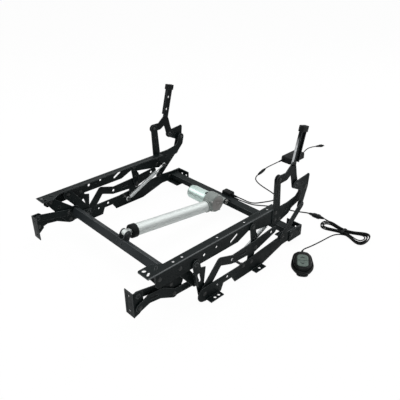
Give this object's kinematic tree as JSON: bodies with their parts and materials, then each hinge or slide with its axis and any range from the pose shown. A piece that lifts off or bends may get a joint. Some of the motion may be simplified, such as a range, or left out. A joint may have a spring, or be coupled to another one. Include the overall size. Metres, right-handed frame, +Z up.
{
  "type": "power recliner mechanism",
  "caption": "Powered recliner chair mechanism: mirrored steel linkages with footrest arms and back uprights, driven by a linear actuator, with wired handset and power supply.",
  "frame": {"origin": "centre of the base bolt pattern, on the floor plane", "axes": "+X to the sitter's left, +Y to the back of the chair, +Z up"},
  "size_m": [0.7753, 1.3668, 0.4077],
  "materials": {
    "black_steel": "black e-coat, satin",
    "zinc_steel": "zinc plated",
    "bright_alloy": "drawn, bright",
    "gearbox_grey": "moulded grey",
    "black_plastic": "fine grain",
    "button_grey": "smooth",
    "cord_black": "matt"
  },
  "bodies": {
    "base": {"left_base_rail": "black_steel", "right_base_rail": "black_steel", "left_base_bar": "black_steel", "right_base_bar": "black_steel", "rear_brackets": "black_steel", "rear_tube": "black_steel", "clevis_pin": "zinc_steel", "base_rivets": "zinc_steel", "left_spring": "zinc_steel", "right_spring": "zinc_steel", "connector_box": "black_plastic", "handset_lead": "cord_black", "handset_connector": "black_plastic", "handset_cord": "cord_black", "hank_tie": "cord_black", "handset_body": "black_plastic", "dc_lead": "cord_black", "dc_connector": "black_plastic", "dc_cord": "cord_black", "power_brick": "black_plastic", "mains_cord": "cord_black", "mains_plug": "black_plastic"},
    "rear_lift_links": {"left_rear_lift_link": "black_steel", "right_rear_lift_link": "black_steel"},
    "front_lift_links": {"left_front_lift_link": "black_steel", "right_front_lift_link": "black_steel"},
    "seat_frame": {"left_seat_rail": "black_steel", "right_seat_rail": "black_steel", "left_rear_plate": "black_steel", "right_rear_plate": "black_steel", "seat_rivets": "zinc_steel"},
    "drive_crank": {"left_drive_crank": "black_steel", "right_drive_crank": "black_steel", "front_tube": "black_steel", "crank_rivets": "zinc_steel"},
    "lower_arms": {"left_lower_arm": "black_steel", "right_lower_arm": "black_steel", "arm_rivets": "zinc_steel"},
    "upper_arms": {"left_upper_arm": "black_steel", "right_upper_arm": "black_steel"},
    "ottoman_links": {"left_ottoman_link": "black_steel", "right_ottoman_link": "black_steel"},
    "ottoman_brackets": {"left_ottoman_bracket": "black_steel", "right_ottoman_bracket": "black_steel"},
    "back_brackets": {"left_back_bracket": "black_steel", "right_back_bracket": "black_steel", "back_caps": "black_plastic"},
    "bell_cranks": {"left_bell_crank": "black_steel", "right_bell_crank": "black_steel"},
    "recline_links": {"left_recline_link": "black_steel", "right_recline_link": "black_steel"},
    "actuator_body": {"gearbox": "gearbox_grey", "motor_can": "bright_alloy", "actuator_tube": "bright_alloy", "front_collar": "black_plastic"},
    "actuator_rod": {"actuator_rod": "bright_alloy"},
    "button_open": {"button_open": "button_grey"},
    "button_close": {"button_close": "button_grey"}
  },
  "joints": [
    {"name": "footrest_drive", "type": "hinge", "parent": "seat_frame", "child": "drive_crank", "pos_m": [0, -0.265, 0.144], "axis": [-1, 0, 0], "range_deg": [0, 90], "deforming": ["left_spring", "right_spring"]},
    {"name": "rear_lift", "type": "hinge", "parent": "base", "child": "rear_lift_links", "pos_m": [0, 0.088, 0.074], "axis": [1, 0, 0], "range_deg": [-0.3, 20.3]},
    {"name": "seat_glide", "type": "hinge", "parent": "rear_lift_links", "child": "seat_frame", "pos_m": [0, 0.079, 0.144], "axis": [1, 0, 0], "range_deg": [-20.3, 0.3]},
    {"name": "front_lift", "type": "hinge", "parent": "base", "child": "front_lift_links", "pos_m": [0, -0.126, 0.026], "axis": [1, 0, 0], "range_deg": [-0.3, 13.6]},
    {"name": "ottoman_swing", "type": "hinge", "parent": "seat_frame", "child": "ottoman_links", "pos_m": [0, -0.197, 0.142], "axis": [1, 0, 0], "range_deg": [-87.41, 0.3]},
    {"name": "lower_arm_swing", "type": "hinge", "parent": "drive_crank", "child": "lower_arms", "pos_m": [0, -0.206, 0.057], "axis": [1, 0, 0], "range_deg": [-0.3, 83.66]},
    {"name": "upper_arm_swing", "type": "hinge", "parent": "drive_crank", "child": "upper_arms", "pos_m": [0, -0.212, 0.087], "axis": [1, 0, 0], "range_deg": [-0.3, 88.34]},
    {"name": "footrest_tip", "type": "hinge", "parent": "lower_arms", "child": "ottoman_brackets", "pos_m": [0, -0.317, 0.075], "axis": [1, 0, 0], "range_deg": [-82.2, 0.3]},
    {"name": "back_recline", "type": "hinge", "parent": "seat_frame", "child": "back_brackets", "pos_m": [0, 0.181, 0.262], "axis": [1, 0, 0], "range_deg": [-26.53, 0.3]},
    {"name": "bell_crank_turn", "type": "hinge", "parent": "seat_frame", "child": "bell_cranks", "pos_m": [0, 0.308, 0.196], "axis": [1, 0, 0], "range_deg": [-0.3, 30.48]},
    {"name": "recline_link_turn", "type": "hinge", "parent": "base", "child": "recline_links", "pos_m": [0, 0.205, 0.062], "axis": [1, 0, 0], "range_deg": [-5.89, 0.3]},
    {"name": "actuator_tilt", "type": "hinge", "parent": "base", "child": "actuator_body", "pos_m": [0, 0.248, 0.056], "axis": [1, 0, 0], "range_deg": [-0.3, 8.86]},
    {"name": "rod_extend", "type": "slide", "parent": "actuator_body", "child": "actuator_rod", "axis": [0, -0.9918, 0.1275], "range_m": [-0.0005, 0.1476]},
    {"name": "press_open", "type": "slide", "parent": "base", "child": "button_open", "axis": [0, 0, -1], "range_m": [0, 0.0015], "stiffness_N_per_m": 900, "springref_m": -0.0006},
    {"name": "press_close", "type": "slide", "parent": "base", "child": "button_close", "axis": [0, 0, -1], "range_m": [0, 0.0015], "stiffness_N_per_m": 900, "springref_m": -0.0006}
  ],
  "couplings": [
    {"joint": "rear_lift", "follows": "footrest_drive", "ratio": 0.22222},
    {"joint": "seat_glide", "follows": "footrest_drive", "ratio": -0.22222},
    {"joint": "front_lift", "follows": "footrest_drive", "ratio": 0.14778},
    {"joint": "ottoman_swing", "follows": "footrest_drive", "ratio": -0.96789},
    {"joint": "lower_arm_swing", "follows": "footrest_drive", "ratio": 0.92622},
    {"joint": "upper_arm_swing", "follows": "footrest_drive", "ratio": 0.97822},
    {"joint": "footrest_tip", "follows": "footrest_drive", "ratio": -0.91},
    {"joint": "back_recline", "follows": "footrest_drive", "ratio": -0.29144},
    {"joint": "bell_crank_turn", "follows": "footrest_drive", "ratio": 0.33533},
    {"joint": "recline_link_turn", "follows": "footrest_drive", "ratio": -0.062111},
    {"joint": "actuator_tilt", "follows": "footrest_drive", "ratio": 0.09513},
    {"joint": "rod_extend", "follows": "footrest_drive", "m_per_rad": 0.09363}
  ]
}
